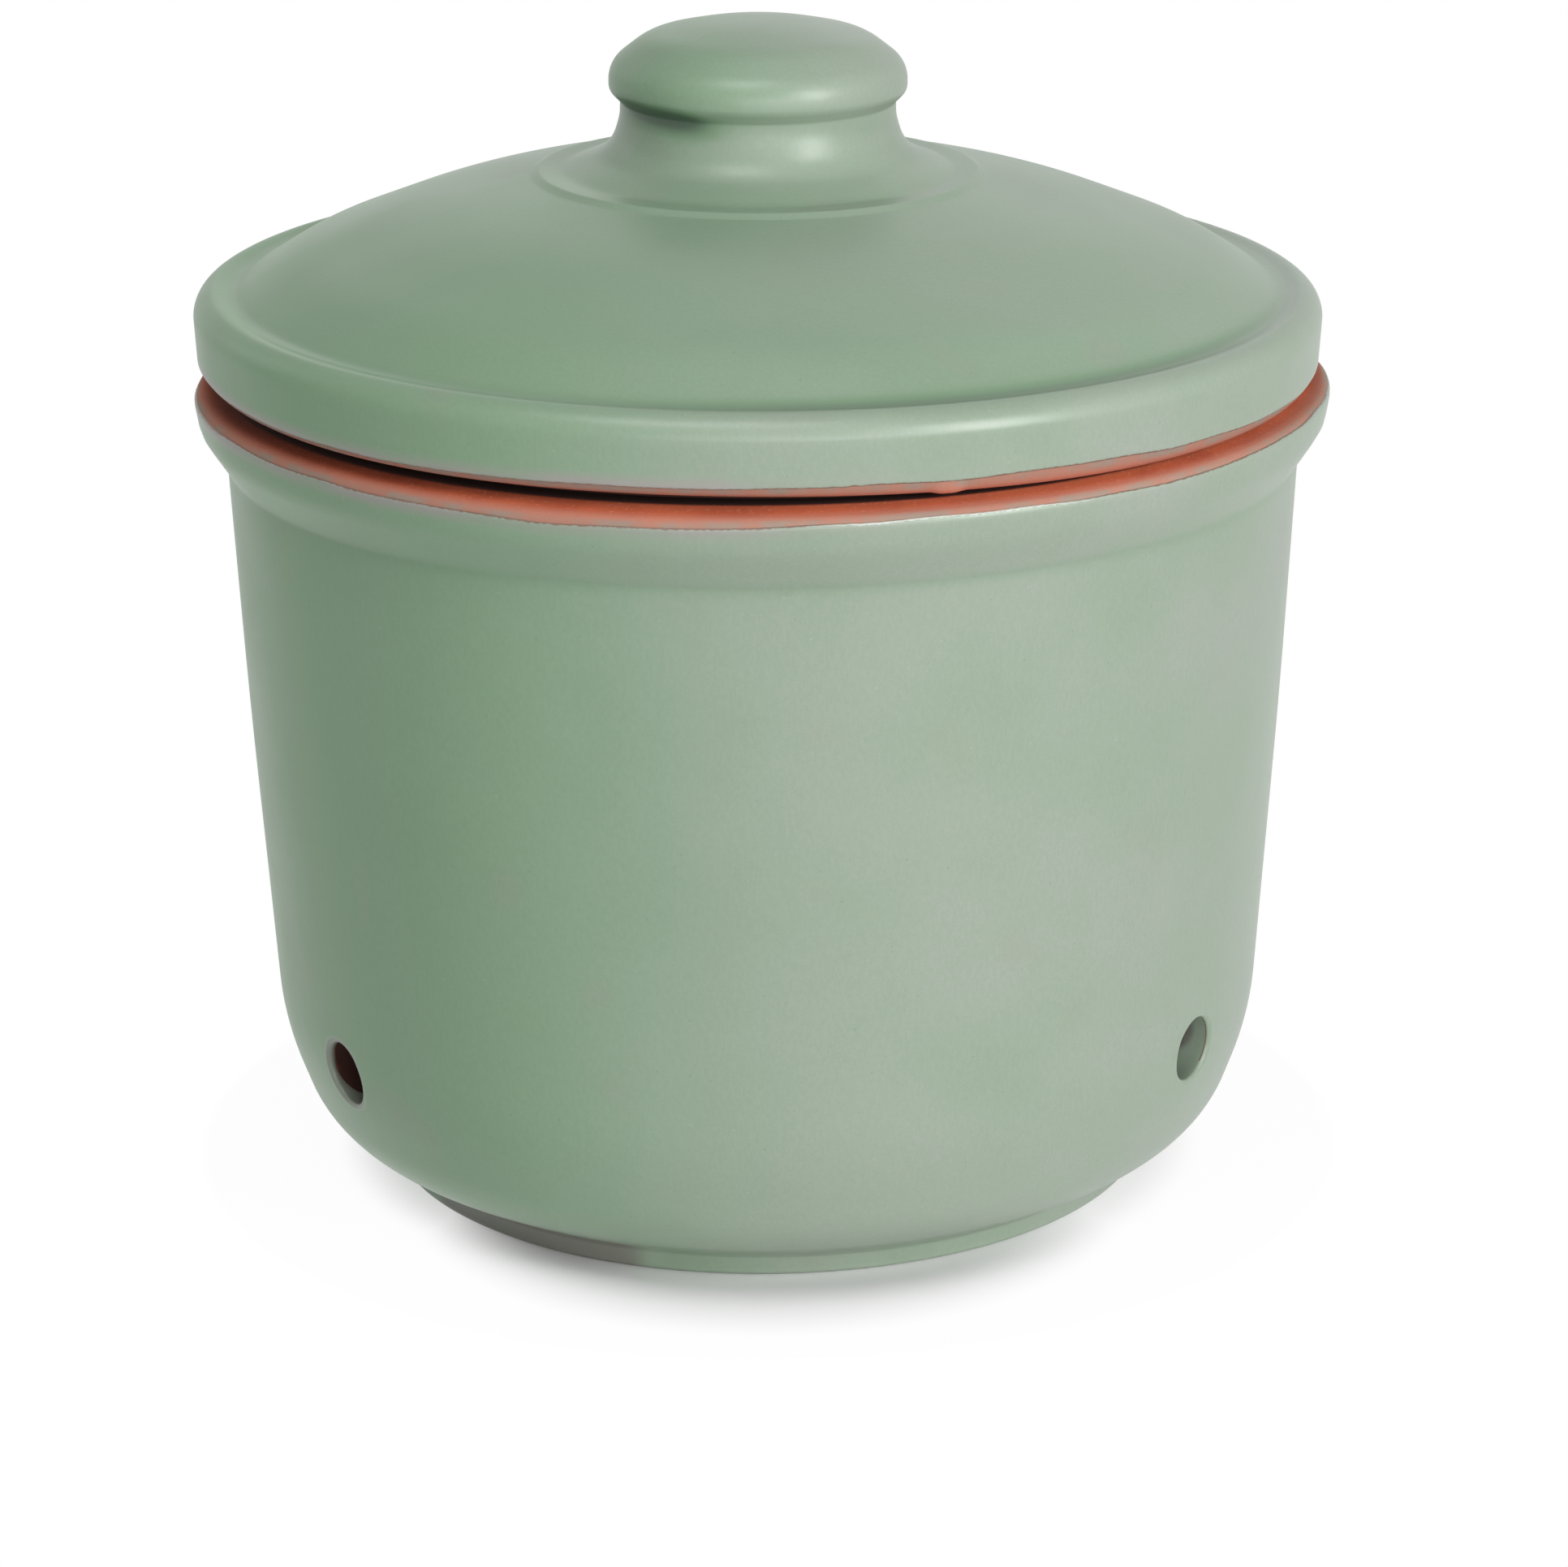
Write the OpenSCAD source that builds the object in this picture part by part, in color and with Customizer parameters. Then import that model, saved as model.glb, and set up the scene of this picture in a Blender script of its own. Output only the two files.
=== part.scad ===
// Garlic keeper: a vented earthenware storage pot and its loose domed lid.
// Units are millimetres. Z is up, the origin is the middle of the foot on the ground,
// and -Y faces the front, with one vent at each side of it and one at the back.
// Both pieces are turned forms, so each is one profile of corners [radius, height, rounding].

/* [Pot] */
// Widest diameter, over the bead round the mouth
rim_bead_d = 141.3; // [125:0.1:165]
// Height of the pot without its lid
pot_height = 102.3; // [85:0.1:125]
// How far the wall draws in, on the radius, from its top down to the belly
wall_taper = 4.4; // [2:0.1:8]
// Height at which the belly runs into the wall
belly_height = 19.6; // [16:0.1:26]
// Rounding of the belly where it turns up from the foot
belly_round = 12.5; // [9:0.5:14]
// Rounding between the belly and the wall
belly_blend = 35; // [25:1:40]
// Height from the ground at which the belly leaves the foot
foot_height = 3.4; // [2.4:0.1:5]
// Outer diameter of the foot ring
foot_d = 97.6; // [85:0.2:108]
// Width of the ring the pot stands on
foot_ring_width = 5.4; // [4:0.1:8]
// Depth of the hollow inside the foot ring
foot_recess = 2.6; // [2.2:0.1:3.5]
// Thickness of the wall
pot_wall = 6.0; // [5:0.1:7.5]
// Thickness of the floor
pot_floor = 6.0; // [5:0.1:8]
// Rounding inside, between the wall and the floor
inside_round = 11; // [8:0.5:12.5]

/* [Rim bead] */
// Height of the bead, from the crease under it to the top
bead_height = 10.0; // [7.5:0.1:12]
// How far the bead stands out from the crease
bead_overhang = 3.75; // [2.5:0.05:5]
// Width of the rim, from the mouth to the outside of the bead
rim_width = 9.65; // [8.5:0.05:11.5]
// Part of that width that falls away outside the level top
rim_shoulder = 4.15; // [3.5:0.05:5]

/* [Vents] */
// Diameter of a vent
vent_d = 8.0; // [5:0.1:11]
// Height of the back vent's middle above the ground
vent_height = 22.2; // [19:0.1:30]
// How much lower the left vent was pierced by hand, and how much higher the right one
vent_stagger = 1.2; // [0:0.1:2]
// Angle of each side vent from the front
vent_side_angle = 57.3; // [52:0.1:65]

/* [Lid] */
// How far the lid's outside stays inside the pot's bead, on the radius
lid_inset = 0.45; // [0:0.05:1.5]
// Height of the upright band round the lid, from the seat to its shoulder
lid_band_height = 9.6; // [7.5:0.1:11]
// Width of the shoulder, from the lid's outside to its crest
lid_shoulder_width = 2.6; // [2.2:0.1:4]
// Height of the crest above the top of the band
lid_crest_rise = 1.5; // [1:0.1:2.5]
// Rounding of the crest
crest_round = 2.0; // [1:0.1:2.2]
// Depth of the shallow valley between the crest and the dome
valley_depth = 0.7; // [0.3:0.1:1]
// Distance from the crest in to the bottom of the valley
valley_width = 2.5; // [2.3:0.1:4]
// Height of the dome, from the crest to the step round the knob
dome_rise = 13.6; // [10:0.1:16]
// Rounding at the foot of the dome
dome_foot_round = 28; // [16:1:32]
// Rounding across the middle of the dome
dome_round = 80; // [40:1:90]
// Gap left open between the two bare clay edges at the outside
lid_edge_gap = 1.5; // [0.8:0.1:2.5]
// Thickness of the dome
lid_wall = 6.0; // [4.5:0.1:7.5]

/* [Locating ring] */
// Play between the locating ring and the mouth, on the radius
ring_clearance = 1.3; // [0.6:0.1:2.5]
// How far the locating ring reaches down into the mouth
ring_depth = 6.0; // [4:0.1:9]
// Thickness of the locating ring
ring_wall = 5.4; // [4:0.1:7]

/* [Knob] */
// Diameter of the low step round the foot of the knob
step_d = 54.2; // [50:0.2:62]
// Height of that step above the dome
step_height = 0.4; // [0.3:0.1:0.9]
// Diameter of the knob's neck
neck_d = 34.0; // [30:0.1:38]
// How far the knob overhangs its neck, on the radius
knob_overhang = 1.4; // [1.2:0.1:3]
// Height of the knob's underside above the step
neck_height = 8.6; // [7.5:0.1:12]
// Height of the knob above its neck
knob_height = 9.9; // [8.5:0.1:13]
// Diameter of the hollow inside the knob
knob_hollow_d = 21.0; // [17:0.2:24]
// Thickness of clay over the hollow
knob_top_wall = 8.0; // [6:0.1:10]

/* [Hidden] */
// Largest distance between a rounding and the short flats that draw it
arc_tolerance = 0.015;

// Roundings of fired edges, from the fullest to the crispest
full_edge = 3.0;
soft_edge = 1.5;
small_edge = 0.8;
crisp_edge = 0.5;

// Pot: levels and radii
rim_r = rim_bead_d / 2;
mouth_r = rim_r - rim_width;
flat_r = rim_r - rim_shoulder;
crease_z = pot_height - bead_height;
crease_r = rim_r - bead_overhang;
low_r = crease_r - wall_taper;
foot_r = foot_d / 2;
foot_inner_r = foot_r - foot_ring_width;
floor_z = foot_recess + pot_floor;
// The foot's side leans out a little to a small cove under the belly
foot_lean = 0.25;
foot_cove = 0.9;
// The belly starts just outside the foot and turns up in two arcs
belly_start_r = foot_r + 1.3;
belly_corner_r = belly_start_r + 0.65 * (low_r - belly_start_r);
belly_corner_z = foot_height + 0.26 * (belly_height - foot_height);
// The wall is very slightly bowed: it steepens above its middle
wall_mid_r = low_r + 0.65 * wall_taper;
wall_mid_z = belly_height + 0.583 * (crease_z - belly_height);
wall_bow = 1500;
// The bead swells out from the crease, leans out to its widest and falls away on top
bead_tuck = 0.45;
bead_lean = 0.25;
bead_fall = 0.8;
bead_round = 3.7;
// The inside follows the outside at the thickness of the wall
inner_low_r = low_r - pot_wall;
inner_low_z = belly_height + 3;
inner_top_r = crease_r - pot_wall;
inner_top_z = crease_z - 6;
inner_corner_r = inner_low_r - 0.4 * inside_round;
inner_blend = 0.5 * belly_blend;

// Lid: levels and radii, from the seat on the level top of the pot's rim
seat_z = pot_height;
seat_outer_r = flat_r - 0.3;
ring_outer_r = mouth_r - ring_clearance;
ring_inner_r = ring_outer_r - ring_wall;
ring_bottom_z = seat_z - ring_depth;
ring_draft = 0.3;
lid_r = rim_r - lid_inset;
band_lean = 0.5;
edge_z = seat_z + lid_edge_gap;
shoulder_z = seat_z + lid_band_height;
crest_z = shoulder_z + lid_crest_rise;
crest_r = lid_r - lid_shoulder_width;
valley_r = crest_r - valley_width;
valley_z = crest_z - valley_depth;
// The dome has a haunch near the valley and flattens towards the step
dome_top_z = crest_z + dome_rise;
haunch_r = valley_r - 7.7;
haunch_z = valley_z + 0.36 * dome_rise;
step_r = step_d / 2;
step_z = dome_top_z + step_height;
step_foot_r = step_r + 1.1;
step_foot_z = dome_top_z - 0.2;
step_land = 2.9;
dome_mid_r = (haunch_r + step_r) / 2;
dome_mid_z = dome_top_z - 0.25 * dome_rise;
// The knob: a flared neck, a crease, and a cap that is round at its side and nearly flat on top
neck_r = neck_d / 2;
neck_flare = 1.2;
neck_low_z = step_z + 0.31 * neck_height;
neck_high_z = step_z + 0.79 * neck_height;
knob_r = neck_r + knob_overhang;
knob_low_z = step_z + neck_height;
knob_top_z = knob_low_z + knob_height;
knob_side_z = knob_low_z + 0.455 * knob_height;
cap_r = 0.75 * knob_r;
cap_z = knob_low_z + 0.815 * knob_height;
cap_flat_r = 0.3 * knob_r;
// The inside follows the dome at the thickness of the lid, and opens into the knob
hollow_r = knob_hollow_d / 2;
hollow_draft = 0.4;
hollow_top_z = knob_top_z - knob_top_wall;
slope_upper = (step_foot_z - dome_mid_z) / (dome_mid_r - step_foot_r);
slope_lower = (dome_mid_z - haunch_z) / (haunch_r - dome_mid_r);
under_mid_r = dome_mid_r - 0.28 * lid_wall;
under_mid_z = dome_mid_z - 0.98 * lid_wall;
under_top_z = under_mid_z + slope_upper * (under_mid_r - hollow_r);
under_edge_z = under_mid_z - slope_lower * (ring_inner_r - under_mid_r);
under_edge_round = 9;

// Profile helpers: a corner [r, z, rounding] becomes the points of a tangent arc
function unit(v) = v / norm(v);
function flat(p) = [p[0], p[1]];
function steps(turn, r) = max(1, ceil(abs(turn) / (2 * acos(1 - arc_tolerance / r))));
function arc_points(centre, r, start, turn) =
    let (n = steps(turn, r))
    [for (i = [0:n]) centre + r * [cos(start + turn * i / n), sin(start + turn * i / n)]];
function angle_of(v) = atan2(v[1], v[0]);
function rounded_corner(a, p, b, r) =
    let (
        u = unit(a - p),
        w = unit(b - p),
        half = acos(u * w) / 2,
        reach = r / tan(half),
        centre = p + unit(u + w) * r / sin(half),
        start = angle_of(p + u * reach - centre),
        end = angle_of(p + w * reach - centre),
        turn = (end - start + 540) % 360 - 180
    )
    arc_points(centre, r, start, turn);
function profile(c) =
    let (last = len(c) - 1)
    [
        for (i = [0:last])
            each c[i][2] == 0
                ? [flat(c[i])]
                : rounded_corner(
                    flat(c[i == 0 ? last : i - 1]),
                    flat(c[i]),
                    flat(c[i == last ? 0 : i + 1]),
                    c[i][2]
                )
    ];

module turned(corners) {
    rotate_extrude($fn = 180)
        polygon(profile(corners));
}

// A round hole pierced level through the wall
module vent(angle, height) {
    reach = 2 * pot_wall;
    rotate([0, 0, angle])
        translate([0, -low_r - reach / 2, height])
            rotate([-90, 0, 0])
                cylinder(d = vent_d, h = 2 * reach, $fn = 64);
}

// The pot: foot ring, round belly, steep wall, and the bead that overhangs a crease
module pot() {
    color([0.53, 0.60, 0.52])
        difference() {
            turned([
                // underneath, from the middle out
                [0, foot_recess, 0],
                [foot_inner_r - small_edge, foot_recess, soft_edge],
                [foot_inner_r, 0, small_edge],
                [foot_r, 0, small_edge],
                // up the outside
                [foot_r + foot_lean, foot_height - foot_cove, crisp_edge],
                [belly_start_r, foot_height, crisp_edge],
                [belly_corner_r, belly_corner_z, belly_round],
                [low_r, belly_height, belly_blend],
                [wall_mid_r, wall_mid_z, wall_bow],
                // the bead and the rim
                [crease_r, crease_z, soft_edge],
                [rim_r - bead_tuck, crease_z + bead_height / 2, bead_round],
                [rim_r + bead_lean, pot_height - bead_fall, soft_edge],
                [flat_r, pot_height, soft_edge],
                [mouth_r, pot_height, soft_edge],
                // down the inside
                [inner_top_r, inner_top_z, bead_round * 5],
                [inner_low_r, inner_low_z, inner_blend],
                [inner_corner_r, floor_z, inside_round],
                [0, floor_z, 0]
            ]);
            vent(vent_side_angle, vent_height + vent_stagger);
            vent(-vent_side_angle, vent_height - vent_stagger);
            vent(180, vent_height);
        }
}

// The lid: locating ring, upright band, shallow valley, dome and hollow knob, all one piece
module lid() {
    color([0.56, 0.63, 0.55])
        turned([
            // underneath, from the middle out
            [0, hollow_top_z, 0],
            [hollow_r, hollow_top_z, 0.65 * hollow_r],
            [hollow_r + hollow_draft, under_top_z, 0.45 * hollow_r],
            [under_mid_r, under_mid_z, dome_round],
            [ring_inner_r, under_edge_z, under_edge_round],
            [ring_inner_r + ring_draft, ring_bottom_z, soft_edge],
            [ring_outer_r - ring_draft, ring_bottom_z, soft_edge],
            [ring_outer_r, seat_z, small_edge],
            // the seat, and the outer edge that stands clear of the rim
            [seat_outer_r, seat_z, crisp_edge],
            [seat_outer_r + lid_edge_gap, edge_z, small_edge],
            [lid_r - band_lean, edge_z, soft_edge],
            // the band, its crest, the valley and the dome
            [lid_r, shoulder_z, full_edge],
            [crest_r, crest_z, crest_round],
            [valley_r, valley_z, full_edge],
            [haunch_r, haunch_z, dome_foot_round],
            [dome_mid_r, dome_mid_z, dome_round],
            // the step, the neck and the knob
            [step_foot_r, step_foot_z, small_edge],
            [step_r, step_z, crisp_edge],
            [step_r - step_land, step_z, full_edge],
            [neck_r + neck_flare, neck_low_z, 0.62 * neck_height],
            [neck_r, neck_high_z, 0.7 * neck_height],
            [neck_r, knob_low_z, crisp_edge],
            [knob_r, knob_low_z + knob_overhang, soft_edge],
            [knob_r, knob_side_z, 0.4 * knob_height],
            [cap_r, cap_z, 0.85 * knob_height],
            [cap_flat_r, knob_top_z, 2 * knob_r],
            [0, knob_top_z, 0]
        ]);
}

pot();
lid();
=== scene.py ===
"""Looks of a garlic keeper: sage glaze over terracotta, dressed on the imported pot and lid.

Each body has two pieces. The clay is the whole turned form, and the glaze is a thin closed skin on it
that ends in a rounded, slightly ragged lip, as a dipped glaze does. Shapes are worked out in millimetres
and written to the meshes in metres.
"""

import math

import bpy
import numpy as np
from mathutils import Matrix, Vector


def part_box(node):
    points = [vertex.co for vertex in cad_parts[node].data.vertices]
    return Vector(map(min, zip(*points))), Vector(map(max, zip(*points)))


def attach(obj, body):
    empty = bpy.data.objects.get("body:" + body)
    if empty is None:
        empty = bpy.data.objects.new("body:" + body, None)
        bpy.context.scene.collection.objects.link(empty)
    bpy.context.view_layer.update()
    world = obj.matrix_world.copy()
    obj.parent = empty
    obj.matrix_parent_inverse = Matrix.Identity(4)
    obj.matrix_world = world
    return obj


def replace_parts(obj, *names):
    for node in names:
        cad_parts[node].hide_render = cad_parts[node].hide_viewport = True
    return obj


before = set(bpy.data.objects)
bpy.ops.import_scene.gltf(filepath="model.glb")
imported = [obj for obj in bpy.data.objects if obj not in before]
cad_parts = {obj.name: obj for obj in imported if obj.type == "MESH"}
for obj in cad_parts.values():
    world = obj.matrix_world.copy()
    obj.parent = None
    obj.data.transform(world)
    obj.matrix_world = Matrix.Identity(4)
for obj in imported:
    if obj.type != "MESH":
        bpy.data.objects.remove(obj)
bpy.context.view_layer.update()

MM = 0.001

# ---- camera, solved from the photograph
PHOTO_WIDTH = 1932
FOCAL_PIXELS = 6500
CAMERA_DISTANCE = 642.7
CAMERA_HEIGHT = 257.6
CAMERA_PITCH = math.radians(18.12)
CAMERA_YAW = math.radians(0.21)
CAMERA_ROLL = math.radians(-0.42)
SENSOR = 36.0
CLIP_END = 50


def set_up(thing, side, up, back, spot):
    """Adds a camera or lamp at a spot in metres, with its axes along those directions."""
    columns = np.column_stack([side, up, back, spot])
    thing.matrix_world = Matrix([*columns.tolist(), [0, 0, 0, 1]])
    bpy.context.scene.collection.objects.link(thing)


def add_camera():
    """A long lens in front of the pot and a little above it."""
    cp, sp = math.cos(CAMERA_PITCH), math.sin(CAMERA_PITCH)
    cy, sy = math.cos(CAMERA_YAW), math.sin(CAMERA_YAW)
    cr, sr = math.cos(CAMERA_ROLL), math.sin(CAMERA_ROLL)
    forward = np.array([sy * cp, cy * cp, -sp])
    level = np.array([cy, -sy, 0.0])
    upright = np.cross(level, forward)
    right = cr * level + sr * upright
    up = -sr * level + cr * upright
    data = bpy.data.cameras.new("camera")
    data.sensor_width = SENSOR
    data.lens = SENSOR * FOCAL_PIXELS / PHOTO_WIDTH
    data.clip_end = CLIP_END
    camera = bpy.data.objects.new("camera", data)
    set_up(camera, right, up, -forward, np.array([0, -CAMERA_DISTANCE, CAMERA_HEIGHT]) * MM)
    bpy.context.scene.camera = camera


# ---- sizes, in millimetres
POT_HIGH = np.array(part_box("pot")[1]) / MM
LID_LOW, LID_HIGH = (np.array(corner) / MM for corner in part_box("lid"))
RIM_R = POT_HIGH[0]
POT_TOP = POT_HIGH[2]
LID_R = LID_HIGH[0]
KNOB_TOP = LID_HIGH[2]
RING_BOTTOM = LID_LOW[2]

# Pot
BEAD_HEIGHT = 10.0
CREASE_R = RIM_R - 3.75
CREASE_Z = POT_TOP - BEAD_HEIGHT
FLAT_R = RIM_R - 4.15
MOUTH_R = RIM_R - 9.65
WALL = 6.0
WALL_LEAN = 4.4
LOW_R = CREASE_R - WALL_LEAN
BELLY_Z = 19.6
FOOT_R = 48.8
FOOT_INNER_R = 43.4
FOOT_Z = 3.4
RECESS_Z = 2.6
FLOOR_Z = RECESS_Z + WALL
BELLY_START_R = FOOT_R + 1.3

# Corners of the outlines: radius, height, and the rounding there, from the axis underneath, up the outside
# and back to the axis
POT_CORNERS = [
    (0, RECESS_Z, 0),
    (FOOT_INNER_R - 0.8, RECESS_Z, 1.5),
    (FOOT_INNER_R, 0, 0.8),
    (FOOT_R, 0, 0.8),
    (FOOT_R + 0.25, FOOT_Z - 0.9, 0.5),
    (BELLY_START_R, FOOT_Z, 0.5),
    (BELLY_START_R + 0.65 * (LOW_R - BELLY_START_R), FOOT_Z + 0.26 * (BELLY_Z - FOOT_Z), 12.5),
    (LOW_R, BELLY_Z, 35),
    (LOW_R + 0.65 * WALL_LEAN, BELLY_Z + 0.583 * (CREASE_Z - BELLY_Z), 1500),
    (CREASE_R, CREASE_Z, 1.5),
    (RIM_R - 0.45, CREASE_Z + BEAD_HEIGHT / 2, 3.7),
    (RIM_R + 0.25, POT_TOP - 0.8, 1.5),
    (FLAT_R, POT_TOP, 1.5),
    (MOUTH_R, POT_TOP, 1.5),
    (CREASE_R - WALL, CREASE_Z - 6, 18.5),
    (LOW_R - WALL, BELLY_Z + 3, 17.5),
    (LOW_R - WALL - WALL_LEAN, FLOOR_Z, 11),
    (0, FLOOR_Z, 0),
]

# Vents: radius, and each one's angle from the front and height
VENT_R = 4.0
VENT_ANGLE = math.radians(57.3)
VENTS = [(VENT_ANGLE, 23.4), (-VENT_ANGLE, 21.0), (math.pi, 22.2)]
# How far the glaze ran into each one all round, how much further at the bottom, its tone on the lip, its
# tone deep inside, which is painted shade (see Shell), and whether the lip is chipped
VENT_GLAZE = [(3.9, 0.5, 0.2, 2.2, True), (0.75, 2.6, 1.4, 3.4, False), (1.1, 2.0, 1.2, 2.4, False)]

# Lid
SHOULDER_Z = POT_TOP + 9.6
CREST_R = LID_R - 2.6
CREST_Z = SHOULDER_Z + 1.5
VALLEY_R = CREST_R - 2.5
VALLEY_Z = CREST_Z - 0.7
DOME_RISE = 13.6
DOME_Z = CREST_Z + DOME_RISE
HAUNCH_R = VALLEY_R - 7.7
STEP_R = 27.1
STEP_Z = DOME_Z + 0.4
NECK_HEIGHT = 8.6
DOME_MID_R = (HAUNCH_R + STEP_R) / 2
DOME_MID_Z = DOME_Z - 0.25 * DOME_RISE
NECK_R = 17.0
KNOB_R = NECK_R + 1.4
KNOB_LOW_Z = STEP_Z + NECK_HEIGHT
KNOB_HEIGHT = KNOB_TOP - KNOB_LOW_Z
RING_R = MOUTH_R - 1.3
RING_INNER_R = RING_R - 5.4
RING_ROOT_Z = 112.29
UNDER_MID_R, UNDER_MID_Z = DOME_MID_R - 1.68, DOME_MID_Z - 5.88
HOLLOW_R = 10.5
HOLLOW_TOP_Z = KNOB_TOP - 8.0
HOLLOW_MOUTH_R, HOLLOW_MOUTH_Z = 10.9, 124.57
# The photographed lid is tipped on the rim, so its seat is cut clear of the rim by this much
SEAT_Z = POT_TOP + 0.55
EDGE_Z = POT_TOP + 1.5

LID_CORNERS = [
    (0, HOLLOW_TOP_Z, 0),
    (HOLLOW_R, HOLLOW_TOP_Z, 6.8),
    (HOLLOW_MOUTH_R, HOLLOW_MOUTH_Z, 4.7),
    (UNDER_MID_R, UNDER_MID_Z, 80),
    (RING_INNER_R, RING_ROOT_Z, 9),
    (RING_INNER_R + 0.3, RING_BOTTOM, 1.5),
    (RING_R - 0.3, RING_BOTTOM, 1.5),
    (RING_R, SEAT_Z, 0.8),
    (FLAT_R - 0.3, SEAT_Z, 0.4),
    (FLAT_R + 1.2, EDGE_Z, 0.7),
    (LID_R - 0.5, EDGE_Z, 1.5),
    (LID_R, SHOULDER_Z, 3),
    (CREST_R, CREST_Z, 2),
    (VALLEY_R, VALLEY_Z, 3),
    (HAUNCH_R, VALLEY_Z + 0.36 * DOME_RISE, 28),
    (DOME_MID_R, DOME_MID_Z, 80),
    (STEP_R + 1.1, DOME_Z - 0.2, 0.8),
    (STEP_R, STEP_Z, 0.5),
    (STEP_R - 2.9, STEP_Z, 3),
    (NECK_R + 1.2, STEP_Z + 0.31 * NECK_HEIGHT, 5.3),
    (NECK_R, STEP_Z + 0.79 * NECK_HEIGHT, 6),
    (NECK_R, KNOB_LOW_Z, 0.5),
    (KNOB_R, KNOB_LOW_Z + 1.4, 1.5),
    (KNOB_R, KNOB_LOW_Z + 0.455 * KNOB_HEIGHT, 4),
    (0.75 * KNOB_R, KNOB_LOW_Z + 0.815 * KNOB_HEIGHT, 8.4),
    (0.3 * KNOB_R, KNOB_TOP, 36.8),
    (0, KNOB_TOP, 0),
]
# How the photographed lid sits: tipped to the right about the rim's height, off centre, and low
LID_TILT = math.radians(0.47)
LID_SHIFT = -0.5
LID_SINK = 0.05
# Its lower edge hangs unevenly: by how much, in waves of (turns, size, phase), over what height, and where
# that starts and is whole
LID_HANG = 0.32
LID_HANG_WAVES = ((1, 0.14, 1.28), (2, 0.14, 1.13), (3, 0.06, 2.59), (4, 0.19, 3.32))
HANG_HEIGHT = 6
HANG_FROM_R, HANG_FADE = FLAT_R + 0.7, 0.8

# Glaze: how far it stands out from the clay, how deep its hidden side lies under its surface, the width
# of its rounded lip, the heights where it ends, and the rounding at a vent
GLAZE = 0.22
GLAZE_BURIED = 0.4
LIP_WIDTH = 0.45
RIM_LINE_Z = 100.6
FOOT_LINE_Z = 0.75
LID_LINE_Z = 104.6
VENT_LIP = 0.62
# The edge value of points that lie far from any edge of the glaze
FAR = 9.0
# The level rim inside this radius lies under the lid
SEAT_R = FLAT_R + 0.5

# How far a ridge or crease reaches in the glaze's tone, and how strongly it tells. Ridges turn paler, as
# thin glaze and painted highlight, and creases deeper green, as pooled glaze and painted shade
RIDGE_REACH = 0.9
RIDGE_TELLS = 1.6

# Mesh: points round the axis, distance between rows, and the most that the surface turns between rows
FINE, MID, COARSE = 1536, 768, 384
ROW = 1.1
ROW_TURN = 0.14
# Heights of the rows that the vents' windows are cut in
VENT_LEVELS = np.arange(12.6, 32.5, ROW)
# Rings have fewer points towards the axis: from each radius outwards, this many, and the last count inside
RING_COUNTS = ((26, COARSE), (12, COARSE // 2), (5, COARSE // 4), (2, COARSE // 8))
TIP_COUNT = COARSE // 16
# Distances between rows where the clay is hidden, underneath, inside, on the floor and round the rim, and
# under the lid and along its edge
HIDDEN_ROW, UNDER_ROW, INSIDE_ROW, FLOOR_ROW, RIM_ROW = 4, 3, 1.8, 2.4, 0.59
LID_UNDER_ROW, LID_EDGE_ROW = 1.4, 0.35
# The first row of the glaze's hidden side is this far from its line, and the next twice as far
BACK_ROW = 1.2
# Rows of a rounded lip, and how far a rounded corner's facets may stray from the arc
LIP_STEPS = 7
ARC_TOLERANCE = 0.004


# ---- turned outlines
def held(value):
    """The value, held between 0 and 1."""
    return np.clip(value, 0, 1)


def rounded_corner(before, corner, after, radius):
    """Points of the arc of that radius that touches both sides of a corner."""
    a = (before - corner) / np.linalg.norm(before - corner)
    b = (after - corner) / np.linalg.norm(after - corner)
    half = math.acos(np.clip(a @ b, -1, 1)) / 2
    reach = radius / math.tan(half)
    centre = corner + (a + b) / np.linalg.norm(a + b) * radius / math.sin(half)
    first, last = (corner + side * reach - centre for side in (a, b))
    start = math.atan2(first[1], first[0])
    turn = (math.atan2(last[1], last[0]) - start + 3 * math.pi) % (2 * math.pi) - math.pi
    steps = max(1, math.ceil(abs(turn) / (2 * math.acos(1 - ARC_TOLERANCE / radius))))
    angles = start + turn * np.arange(steps + 1) / steps
    return centre + radius * np.column_stack([np.cos(angles), np.sin(angles)])


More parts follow.
